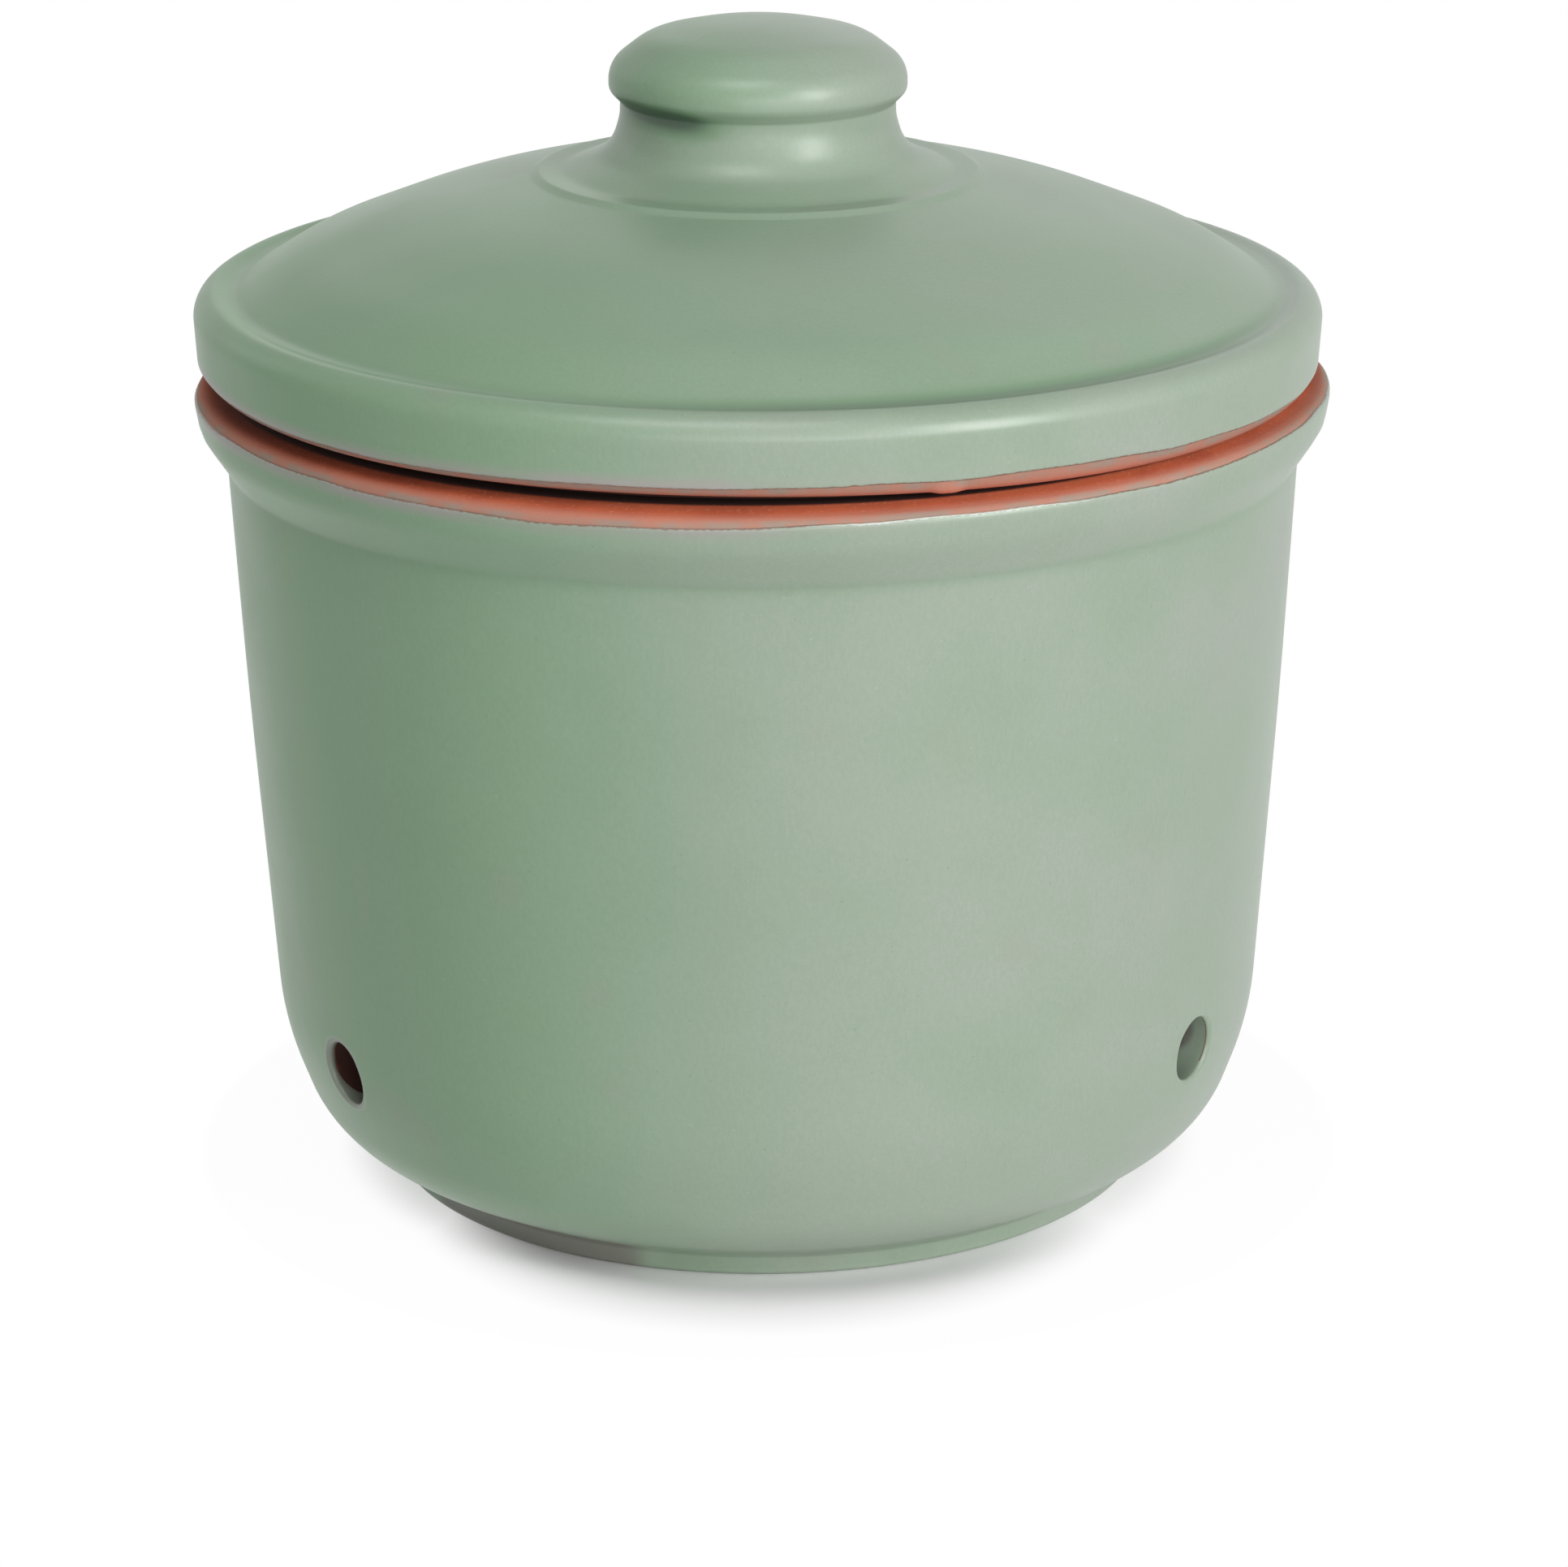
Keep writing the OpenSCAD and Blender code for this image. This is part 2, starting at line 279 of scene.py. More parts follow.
class Outline:
    """A turned form's half section, walked from the axis underneath, up the outside, to the axis."""

    STEP = 0.05
    BLUR_STEPS = 60

    def __init__(self, corners):
        spots = [np.array(c[:2], float) for c in corners]
        parts = [spots[:1]]
        for i in range(1, len(corners) - 1):
            parts.append(rounded_corner(spots[i - 1], spots[i], spots[i + 1], corners[i][2]))
        parts.append(spots[-1:])
        path = np.concatenate(parts)
        walked = np.r_[0, np.cumsum(np.hypot(*np.diff(path, axis=0).T))]
        count = math.ceil(walked[-1] / self.STEP)
        self.at = np.linspace(0, walked[-1], count + 1)
        self.r = np.interp(self.at, walked, path[:, 0])
        self.z = np.interp(self.at, walked, path[:, 1])
        tangent = np.gradient(np.column_stack([self.r, self.z]), axis=0)
        tangent /= np.linalg.norm(tangent, axis=1)[:, None]
        self.out_r, self.out_z = tangent[:, 1], -tangent[:, 0]
        heading = np.unwrap(np.arctan2(tangent[:, 1], tangent[:, 0]))
        self.bend = np.gradient(heading, self.at)
        reach = np.arange(-self.BLUR_STEPS, self.BLUR_STEPS + 1) * self.STEP
        blur = np.exp(-(reach**2) / (2 * RIDGE_REACH**2))
        self.ridge = np.tanh(RIDGE_TELLS * np.convolve(self.bend, blur / blur.sum(), "same"))
        self.end = float(self.at[-1])
        self.widest = float(self.at[np.argmax(self.r)])

    def place(self, at, depth=0.0):
        """Radius and height at a distance along the outline, that deep under its surface."""
        r = np.interp(at, self.at, self.r) - depth * np.interp(at, self.at, self.out_r)
        z = np.interp(at, self.at, self.z) - depth * np.interp(at, self.at, self.out_z)
        return np.maximum(r, 0), z

    def find(self, height, low, high):
        """Distance at which the outline passes a height, between two distances."""
        between = (self.at >= low) & (self.at <= high)
        return float(self.at[between][np.argmin(np.abs(self.z[between] - height))])

    def rows(self, start, end, row=ROW):
        """Distances from start to end, an even row apart, and closer where the outline turns."""
        at = np.arange(min(start, end), max(start, end), self.STEP)
        turning = np.abs(np.interp(at, self.at, self.bend))
        cost = np.cumsum(np.maximum(1 / row, turning / ROW_TURN)) * self.STEP
        count = max(2, round(cost[-1]))
        spread = np.interp(np.linspace(cost[0], cost[-1], count + 1), cost, at)
        return spread[1:-1] if start < end else spread[-2:0:-1]


def angles(count):
    """Angles round the axis, from the front (-Y) towards the right (+X)."""
    return np.arange(count) * 2 * math.pi / count


def around(r, z, angle):
    """Points in space at those radii, heights and angles."""
    r, z, angle = np.broadcast_arrays(r, z, angle)
    return np.stack([r * np.sin(angle), -r * np.cos(angle), z], -1)


def ragged(angle, seed, lowest, highest, size):
    """An uneven line round the axis: seeded waves of lowest to highest turns, with that mean size."""
    rng = np.random.default_rng(seed)
    waves = np.arange(lowest, highest)
    strength = rng.normal(size=len(waves)) / np.sqrt(waves)
    phase = rng.uniform(0, 2 * math.pi, len(waves))
    line = (strength[:, None] * np.cos(waves[:, None] * angle + phase[:, None])).sum(0)
    return size * line / math.sqrt((strength**2).sum() / 2)


class Shell:
    """A closed mesh that grows by rings of points, each with two values painted on it.

    edge is the distance from the glaze's edge in millimetres. tone on the glaze is 0 where it is plain, 1
    where it lies thin and pale, 1.6 where it is grey brown, as worn glaze with painted shade on the foot
    and as painted shade deep in the vents, -1 where it is deep green, as pooled glaze with painted shade in
    creases, and -2 where it is nearly black, as the painted shadow under the knob. tone on the clay is 0
    where it is clean and -1 where painted shade darkens it, in the gap under the lid and inside the vents.
    """

    def __init__(self):
        self.points = []
        self.edge = []
        self.tone = []
        self.faces = []
        self.count = 0

    def ring(self, points, edge=FAR, tone=0.0):
        points = np.atleast_2d(points)
        self.points.append(points)
        self.edge.append(np.broadcast_to(np.asarray(edge, float), len(points)))
        self.tone.append(np.broadcast_to(np.asarray(tone, float), len(points)))
        self.count += len(points)
        return np.arange(self.count - len(points), self.count)

    def bridge(self, low, high, left_open=()):
        """Faces from one ring up to the next, which may have as many points, twice or half."""
        count = min(len(low), len(high))
        lows, highs = len(low) // count, len(high) // count
        for i in range(count):
            if i in left_open:
                continue
            below = [low[(i * lows + k) % len(low)] for k in range(lows + 1)]
            above = [high[(i * highs + k) % len(high)] for k in range(highs, -1, -1)]
            self.faces.append((*below, *above))

    def fan(self, ring, tip, tip_above):
        """Faces from a ring to a point on the axis."""
        for a, b in zip(ring, np.roll(ring, -1)):
            self.faces.append((a, b, tip) if tip_above else (b, a, tip))

    def build(self, name, settle):
        """The Blender object, with each point moved by settle() and written in metres.

        The points inside a vent's window have no face, so they are left out.
        """
        used = np.unique(np.concatenate([np.array(face) for face in self.faces]))
        renumbered = np.zeros(self.count, int)
        renumbered[used] = np.arange(len(used))
        points = settle(np.concatenate(self.points)[used])
        mesh = bpy.data.meshes.new(name)
        mesh.from_pydata((points * MM).tolist(), [], [renumbered[list(f)].tolist() for f in self.faces])
        mesh.polygons.foreach_set("use_smooth", [True] * len(mesh.polygons))
        for paint in ("edge", "tone"):
            values = np.concatenate(getattr(self, paint))[used].astype(np.float32)
            mesh.attributes.new(paint, "FLOAT", "POINT").data.foreach_set("value", values)
        piece = bpy.data.objects.new(name, mesh)
        bpy.context.scene.collection.objects.link(piece)
        return piece


def waves(angle, middle, *parts):
    """A slow wave round the axis, as its middle and parts of (turns, size, phase)."""
    return middle + sum(size * np.cos(turns * angle - phase) for turns, size, phase in parts)


def lid_hang(angle):
    """How far the lid's lower edge hangs below its plane."""
    return np.maximum(waves(angle, LID_HANG, *LID_HANG_WAVES), 0)


# How uneven the turned forms are, as a share of their radius, and the most that their waves add up to
UNEVEN, WAVES_MOST = 0.0005, 2.25


def hand_turned(points):
    """A few hundredths of a millimetre of unevenness, always inwards, that hand work leaves."""
    angle = np.arctan2(points[:, 0], -points[:, 1])
    height = points[:, 2]
    wave = (
        np.cos(2 * angle + 0.6 + height / 70)
        + 0.6 * np.cos(3 * angle + 2.1 - height / 45)
        + 0.35 * np.cos(5 * angle + 4.0 + height / 30)
        + 0.30 * np.sin(height / 5.3 + np.cos(angle))
    )
    shrink = 1 - UNEVEN * (1.6 + wave / WAVES_MOST)
    return points * np.column_stack([shrink, shrink, np.ones(len(points))])


def askew(points):
    """The lid as the photograph shows it: uneven along its lower edge, tipped, and off centre."""
    x, y, z = hand_turned(points).T
    low = held((EDGE_Z + HANG_HEIGHT - z) / HANG_HEIGHT)
    low = low * held((np.hypot(x, y) - HANG_FROM_R) / HANG_FADE)
    z = z - lid_hang(np.arctan2(x, -y)) * low * low * (3 - 2 * low)
    rise = z - POT_TOP
    c, s = math.cos(LID_TILT), math.sin(LID_TILT)
    return np.column_stack([x * c + rise * s + LID_SHIFT, y, -x * s + rise * c + POT_TOP - LID_SINK])


# ---- turned surfaces
def count_at(radius):
    """How many points a ring has: fewer towards the axis."""
    for least, count in RING_COUNTS:
        if radius >= least:
            return count
    return TIP_COUNT


class Turned:
    """A turned surface: rings laid one after another along an outline, and bridged as they come."""

    def __init__(self, shell, outline, vents=()):
        self.shell = shell
        self.outline = outline
        self.vents = vents
        self.last = None
        self.last_height = None
        self.open_tip = None
        self.start_ring = None
        self.rings = []

    def tip(self, at, depth):
        """A point on the axis, which starts or ends the surface."""
        height = float(self.outline.place(at, depth)[1])
        point = self.shell.ring([(0, 0, height)])[0]
        if self.last is None:
            self.open_tip = point
        else:
            self.shell.fan(self.last, point, True)
            self.last = None

    def row(self, at, depth=0.0, count=None, edge=FAR, tone=None):
        """A ring at a distance along the outline, which may differ round the axis, and that deep."""
        if count is None:
            count = count_at(float(np.mean(self.outline.place(at, depth)[0])))
        at = np.broadcast_to(at, count)
        r, z = self.outline.place(at, depth)
        # By default the tone follows the outline's bends: thin glaze and painted highlight on ridges,
        # pooled glaze and painted shade in creases
        if tone is None:
            tone = np.interp(at, self.outline.at, self.outline.ridge)
        ring = self.shell.ring(around(r, z, angles(count)), edge, tone)
        height = float(np.mean(z))
        if self.open_tip is not None:
            self.shell.fan(ring, self.open_tip, False)
            self.open_tip = None
        elif self.last is not None:
            self.shell.bridge(self.last, ring, self.left_open(self.last_height, height, count))
        if self.start_ring is None:
            self.start_ring = ring
        self.last, self.last_height = ring, height
        self.rings.append((height, ring))
        return ring

    def lay(self, distances, depth=0.0, tone=None):
        """Rings at those distances, all that deep and with that tone."""
        for at in distances:
            self.row(at, depth, tone=tone)

    def left_open(self, low, high, count):
        """The columns that vents leave open between two rows at those heights."""
        if count != COARSE:
            return ()
        return {
            int(column)
            for vent in self.vents
            if vent.spans(low) and vent.spans(high)
            for column in vent.columns[:-1]
        }

    def close(self):
        """Joins the last ring to the first one."""
        self.shell.bridge(self.last, self.start_ring)


class Wall:
    """A stretch of an outline at one depth, on which each height has one radius.

    Its levels are the distances along the outline at which it passes VENT_LEVELS.
    """

    def __init__(self, outline, start, end, depth):
        at = outline.at[(outline.at >= start) & (outline.at <= end)]
        r, z = outline.place(at, depth)
        order = np.argsort(z)
        self.r, self.z = r[order], z[order]
        self.levels = np.interp(VENT_LEVELS, self.z, at[order])

    def radius(self, height):
        return np.interp(height, self.z, self.r)


# ---- vents
class Vent:
    """One round hole, drawn as rings in the plane across its level axis."""

    WINDOW = 7.2
    COLUMNS = 7

    def __init__(self, angle, height, glazing):
        self.angle = angle
        self.height = height
        self.glaze_reach, self.glaze_run, self.lip_tone, self.inner_tone, self.chipped = glazing
        middle = round(angle / (2 * math.pi) * COARSE)
        self.columns = (np.arange(-self.COLUMNS, self.COLUMNS + 1) + middle) % COARSE

    def spans(self, height):
        return abs(height - self.height) <= self.WINDOW

    def loop(self, rings):
        """The points round the window that the vent is cut in, from its lowest left corner."""
        rows = [ring for height, ring in sorted(rings, key=lambda row: row[0]) if self.spans(height)]
        path = list(rows[0][self.columns])
        path += [row[self.columns[-1]] for row in rows[1:-1]]
        path += list(rows[-1][self.columns[::-1]])
        path += [row[self.columns[0]] for row in rows[-2:0:-1]]
        return np.array(path)

    def polar(self, points):
        """Distance from the vent's axis and angle round it."""
        side = points[:, 0] * math.cos(self.angle) + points[:, 1] * math.sin(self.angle)
        rise = points[:, 2] - self.height
        return np.hypot(side, rise), np.arctan2(rise, side)

    def spot(self, distance, turn, wall, deeper=0.0):
        """Points at that distance and angle on a wall, or deeper along the axis."""
        side = distance * np.cos(turn)
        z = self.height + distance * np.sin(turn)
        out = np.sqrt(wall.radius(z) ** 2 - side**2) - deeper
        s, c = math.sin(self.angle), math.cos(self.angle)
        return np.stack([out * s + side * c, -out * c + side * s, z], -1)


# Shares of the way from a vent's lip out to its window, and turns of its rounded lip
VENT_SPREAD = (0.72, 0.5, 0.32, 0.18, 0.08, 0.0)
LIP_TURNS = np.linspace(0, math.pi / 2, LIP_STEPS)[1:]
INNER_LIP = 0.8
# Rings along a bore in the clay, and shares of the way that the glaze ran into it
BORE_RINGS = 8
RUN_SHARES = (0.3, 0.6, 0.85, 1.0)
# Where a lip is chipped, as an angle round the vent, how far that spreads, its edge value, and the turn of
# the lip from which it shows
CHIP_TURN, CHIP_SPREAD, CHIP_EDGE, CHIP_FROM = 0.1, 0.9, 0.12, 1.25


def lay_rings(shell, start, end, rings):
    """Bridges rings of (points, edge, tone) from one loop to another."""
    last = start
    for points, edge, tone in rings:
        ring = shell.ring(points, edge, tone)
        shell.bridge(last, ring)
        last = ring
    shell.bridge(last, end)


def bore_clay(shell, vent, outer, outer_rings, inner, inner_rings):
    """The hole through the clay, from its outer wall to its inner wall."""
    start, end = vent.loop(outer_rings), vent.loop(inner_rings)
    points = np.concatenate(shell.points)
    far, turn = vent.polar(points[start])
    far_in, turn_in = vent.polar(points[end])
    radius = VENT_R + GLAZE
    lip = VENT_LIP - GLAZE
    inner_lip = INNER_LIP + 0.12 * np.sin(5 * turn + vent.height) + 0.08 * np.sin(11 * turn)
    rings = []
    for share in VENT_SPREAD:
        rings.append((vent.spot(radius + lip + (far - radius - lip) * share, turn, outer), FAR, 0.0))
    for a in LIP_TURNS:
        spot = vent.spot(radius + lip * (1 - math.sin(a)), turn, outer, lip * (1 - math.cos(a)))
        rings.append((spot, FAR, 0.0))
    outside, inside = rings[-1][0], vent.spot(radius + 0 * turn, turn, inner, -INNER_LIP)
    # Painted shade inside the bore, and less of it on the inner lip
    for share in np.linspace(0, 1, BORE_RINGS)[1:]:
        rings.append((outside + (inside - outside) * share, FAR, -1.0))
    for a in LIP_TURNS[-2::-1]:
        distance = radius + inner_lip * (1 - math.sin(a))
        rings.append((vent.spot(distance, turn, inner, -INNER_LIP * (1 - math.cos(a))), FAR, -0.5))
    for share in VENT_SPREAD[::-1]:
        distance = radius + inner_lip + (far_in - radius - inner_lip) * share
        rings.append((vent.spot(distance, turn + (turn_in - turn) * share, inner), FAR, 0.0))
    lay_rings(shell, start, end, rings)


def bore_glaze(shell, vent, outer, outer_rings, buried, buried_rings):
    """The glaze's own way into a hole: over the lip, part of the way in, and back under itself."""
    start, end = vent.loop(outer_rings), vent.loop(buried_rings)
    points = np.concatenate(shell.points)
    far, turn = vent.polar(points[start])
    far_in, turn_in = vent.polar(points[end])
    lip_out = VENT_R + VENT_LIP
    under_lip = VENT_LIP - GLAZE_BURIED
    reach = vent.glaze_reach * (1 + 0.08 * np.sin(3 * turn + vent.height) + 0.05 * np.sin(7 * turn))
    reach = reach + vent.glaze_run * held(-np.sin(turn - 0.2)) ** 3
    # Painted light and shade deep in the vent: grey brown at the top, paler at the bottom
    inner_tone = vent.inner_tone * held(0.9 + 0.5 * np.sin(turn))
    chip = vent.chipped & (np.abs(turn - CHIP_TURN) < CHIP_SPREAD)
    chip_edge = np.where(chip, CHIP_EDGE, FAR)
    rough = VENT_LIP * (0.06 * np.sin(6 * turn + vent.height) + chip * 0.12 * (1 + np.sin(17 * turn)))
    rings = []
    for share in VENT_SPREAD:
        tone = vent.lip_tone * (1 - share) ** 7
        rings.append((vent.spot(lip_out + (far - lip_out) * share, turn, outer), FAR, tone))
    for a in LIP_TURNS:
        distance = VENT_R + (VENT_LIP + rough) * (1 - math.sin(a))
        spot = vent.spot(distance, turn, outer, VENT_LIP * (1 - math.cos(a)))
        rings.append((spot, chip_edge if a > CHIP_FROM else FAR, vent.lip_tone))
    for share in RUN_SHARES:
        deep = VENT_LIP + (reach - VENT_LIP) * share
        tone = vent.lip_tone + (inner_tone - vent.lip_tone) * share
        rings.append((vent.spot(VENT_R + 0 * turn, turn, outer, deep), FAR, tone))
    for a in LIP_TURNS[1::2]:
        distance = VENT_R + GLAZE_BURIED * (1 - math.cos(a))
        spot = vent.spot(distance + 0 * turn, turn, outer, reach + LIP_WIDTH * math.sin(a))
        rings.append((spot, CHIP_EDGE, 1.0))
    under = VENT_R + GLAZE_BURIED + 0 * turn
    rings.append((vent.spot(under, turn, outer, VENT_LIP + 0.5 * (reach - VENT_LIP)), FAR, 1.0))
    for a in LIP_TURNS[::-2]:
        distance = lip_out - under_lip * math.sin(a) + 0 * turn
        rings.append((vent.spot(distance, turn, buried, under_lip * (1 - math.cos(a))), FAR, 1.0))
    for share in VENT_SPREAD[::-2]:
        spread = turn + (turn_in - turn) * share
        rings.append((vent.spot(lip_out + (far_in - lip_out) * share, spread, buried), FAR, 0.0))
    lay_rings(shell, start, end, rings)


# ---- glaze edges
def lip_rows():
    """A rounded lip: distances from its buried edge, and how deep the surface is there."""
    turn = np.linspace(0, math.pi / 2, LIP_STEPS)
    return list(zip(LIP_WIDTH * (1 - np.cos(turn)), GLAZE_BURIED * (1 - np.sin(turn))))


# Beyond the lip: distance from the edge, share of the edge's raggedness, and how fine the ring is
EDGE_ROWS = [(0.7, 1.0, FINE), (1.1, 0.85, MID), (1.8, 0.6, MID), (2.8, 0.3, COARSE), (3.9, 0.0, COARSE)]


def glaze_edge(surface, at, line, direction, finest=FINE):
    """Rings from the glaze's buried edge on to the full surface, or the other way if direction is -1.

    line(angles) is how far the ragged edge reaches beyond its place, and how far up the outline that place
    wanders round the pot. The surface lies on the side of the edge that direction says.
    """
    rows = [(distance, depth, 1.0, finest) for distance, depth in lip_rows()]
    rows += [(distance, 0.0, share, min(count, finest)) for distance, share, count in EDGE_ROWS]
    for distance, depth, share, count in rows[::direction]:
        beyond, wander = line(angles(count))
        surface.row(at + wander + direction * (distance - share * beyond), depth, count, edge=distance)


# ---- the pot
POT = Outline(POT_CORNERS)
POT_LINE = POT.find(RIM_LINE_Z, POT.widest - 8, POT.widest + 8)
POT_FOOT = POT.find(FOOT_LINE_Z, POT.widest - 120, POT.widest - 60)
# The walls that a vent goes through: the outer one's length up to the widest point, and how far before the
# outline's end and past the top the inner one runs
OUTER_WALL, INNER_WALL, INNER_WALL_TOP = 90, 46, 8
# How far before the glaze's line the clay starts to sink under it, at the foot
FOOT_SINK = 1.2
# Rows of the rim: how far before the glaze's line they start, past the top they end, and from the line they
# are finer
RIM_BEFORE, RIM_PAST, RIM_FINER = 3, 12, 6
# The grey brown patch on the foot, worn glaze with painted shade on it: where it begins and ends round the
# pot, and its height
FOOT_PATCH_FROM, FOOT_PATCH_TO = math.radians(360 - 66), math.radians(360 - 9)
FOOT_PATCH_Z = 5.4
# The painted shade on the left of the bare rim, close under the lid: its middle, how far it spreads both
# ways, how far it reaches from the seat, and its tone
RIM_SHADE_MIDDLE, RIM_SHADE_SPREAD, RIM_SHADE_REACH, RIM_SHADE_TONE = math.radians(360 - 72), 0.55, 3, -0.72
# How the glaze's line wanders under the rim, in waves of (turns, size, phase)
RIM_WANDER = ((1, 0.24, 1.28), (3, 0.24, 2.6), (5, 0.21, 1.0), (7, 0.10, 2.16))


def rim_wander(angle):
    return waves(angle, 0.20, *RIM_WANDER)


def rim_line(angle):
    beyond = ragged(angle, 11, 12, 40, 0.05) + ragged(angle, 12, 150, 500, 0.012)
    return beyond, rim_wander(angle)


def foot_line(angle):
    beyond = ragged(angle, 13, 3, 24, 0.08) + ragged(angle, 14, 60, 400, 0.04)
    return beyond, 0 * angle


def foot_wear_and_shade(angle, height):
    """The glaze's tone on the foot: grey brown at one side of the front, worn glaze with painted shade on
    it, and pale above that.
    """
    side = held((angle - FOOT_PATCH_FROM) / 0.2) * held((FOOT_PATCH_TO - angle) / 0.24)
    side = side * side * (3 - 2 * side)
    worn = 1.6 * np.maximum(side, 0.15) * held((FOOT_PATCH_Z - height) / 1.6)
    return np.maximum(worn, 0.9 * side * held((FOOT_PATCH_Z + 4 - height) / 3))


# The spiral inside the pot: half its depth, and the distance between its turns
THROWN_DEPTH, THROWN_PITCH = 0.05, 5.2


def make_pot_clay(vents):
    """The whole turned pot: raw inside and on the rim, and sunk under the glaze outside."""
    shell = Shell()
    surface = Turned(shell, POT, vents)
    top = POT.find(POT_TOP, POT.widest, POT.widest + 12)
    seat = POT.widest + float(np.argmin(np.abs(SEAT_R - POT.r[POT.at > POT.widest]))) * POT.STEP
    outer = Wall(POT, POT.widest - OUTER_WALL, POT.widest, GLAZE)
    inner = Wall(POT, top + INNER_WALL_TOP, POT.end - INNER_WALL, 0.0)

    surface.tip(0, 0.0)
    surface.lay(POT.rows(0, POT_FOOT - FOOT_SINK, UNDER_ROW), tone=0.0)
    for at in POT.rows(POT_FOOT - FOOT_SINK, outer.levels[0]):
        surface.row(at, GLAZE * held((at - POT_FOOT + FOOT_SINK) / FOOT_SINK), tone=0.0)
    surface.lay(outer.levels, GLAZE)
    outer_rings = list(surface.rings)
    surface.lay(POT.rows(outer.levels[-1], POT_LINE - RIM_BEFORE, HIDDEN_ROW), GLAZE)
    for at in POT.rows(POT_LINE - RIM_BEFORE, top + RIM_PAST, RIM_ROW):
        count = MID if abs(at - POT_LINE) < RIM_FINER else COARSE
        # Painted shade on the level rim under the lid, and on the left of the rim close under it
        dark = -held((at - seat) / 0.4) * held((seat + 6 - at) / 3)
        left = np.exp(-(((angles(count) - RIM_SHADE_MIDDLE) / RIM_SHADE_SPREAD) ** 2))
        left = left * math.exp(-(((at - seat) / RIM_SHADE_REACH) ** 2))
        sunk = GLAZE * held((top - at) / 2)
        edge = at - POT_LINE - rim_wander(angles(count))
        surface.row(at, sunk, count, edge=edge, tone=np.minimum(dark, RIM_SHADE_TONE * left))
    first_inner = len(surface.rings)
    for at in POT.rows(top + RIM_PAST, inner.levels[-1], INSIDE_ROW):
        surface.row(at, throwing_lines(at, angles(COARSE)), tone=0.0)
    surface.lay(inner.levels[::-1], tone=0.0)
    surface.lay(POT.rows(inner.levels[0], POT.end, FLOOR_ROW), tone=0.0)
    surface.tip(POT.end, 0.0)
    for vent in vents:
        bore_clay(shell, vent, outer, outer_rings, inner, surface.rings[first_inner:])
    return shell.build("pot_clay", hand_turned)


def throwing_lines(at, angle):
    """The faint spiral that fingers leave inside a thrown pot, as depth into the wall."""
    return THROWN_DEPTH * (1 + np.sin(2 * math.pi * at / THROWN_PITCH + angle))


def make_pot_glaze(vents):
    """The glaze outside the pot, from the line under the rim down to the foot."""
    shell = Shell()
    surface = Turned(shell, POT, vents)
    outer = Wall(POT, POT.widest - OUTER_WALL, POT.widest, 0.0)
    buried = Wall(POT, POT.widest - OUTER_WALL, POT.widest, GLAZE_BURIED)
    glaze_edge(surface, POT_FOOT, foot_line, 1, MID)
    surface.lay(POT.rows(POT_FOOT + EDGE_ROWS[-1][0], outer.levels[0]))
    for ring, points in enumerate(shell.points):
        round_pot = np.arctan2(points[:, 0], -points[:, 1]) % (2 * math.pi)
        shell.tone[ring] = np.maximum(shell.tone[ring], foot_wear_and_shade(round_pot, points[:, 2]))
    surface.lay(outer.levels)
    surface.lay(POT.rows(outer.levels[-1], POT_LINE - EDGE_ROWS[-1][0]))
    outer_rings = list(surface.rings)
    glaze_edge(surface, POT_LINE, rim_line, -1)
    first_buried = len(surface.rings)
    surface.row(POT_LINE - BACK_ROW, GLAZE_BURIED, MID, edge=0.0)
    surface.lay(POT.rows(POT_LINE - 2 * BACK_ROW, buried.levels[-1], HIDDEN_ROW), GLAZE_BURIED)
    surface.lay(buried.levels[::-1], GLAZE_BURIED)
    surface.lay(POT.rows(buried.levels[0], POT_FOOT + BACK_ROW, 2), GLAZE_BURIED)
    surface.close()
    for vent in vents:
        bore_glaze(shell, vent, outer, outer_rings, buried, surface.rings[first_buried:])
    return shell.build("pot_glaze", hand_turned)


# ---- the lid
LID = Outline(LID_CORNERS)
LID_LINE = LID.find(LID_LINE_Z, LID.widest - 12, LID.widest)
# How the glaze's line wanders along the lid's lower edge, in waves of (turns, size, phase)
LID_WANDER = ((1, 0.18, 1.36), (2, 0.28, 1.22), (4, 0.19, 1.56), (6, 0.11, 3.93))
# A nib of clay that hangs from the lower edge: its angle, half width and depth
NIB_ANGLE, NIB_WIDTH, NIB_DROP = math.radians(18.2), 1.7, 0.25
# The painted shadow under one side of the knob, and the pooled glaze with painted shade along the valley:
# middle, spread both ways, spread in height under the knob and across the valley, and strength
KNOB_SHADOW_ANGLE, KNOB_SHADOW_SPREAD, KNOB_SHADOW_DEPTH, KNOB_SHADOW_TONE = math.radians(-47), 0.46, 1.7, 2.3
VALLEY_ANGLE, VALLEY_SPREAD, VALLEY_WIDTH, VALLEY_TONE = 0.55, 0.7, 1.6, 0.8
# Elsewhere round the knob, out to this radius, the creases are no darker than this tone
KNOB_REACH, KNOB_TONE = STEP_R + 2, -0.25


def lid_wander(angle):
    return waves(angle, 0.17, *LID_WANDER)


def lid_line(angle):
    beyond = ragged(angle, 21, 12, 40, 0.04) + ragged(angle, 22, 150, 500, 0.012)
    return beyond, lid_wander(angle)


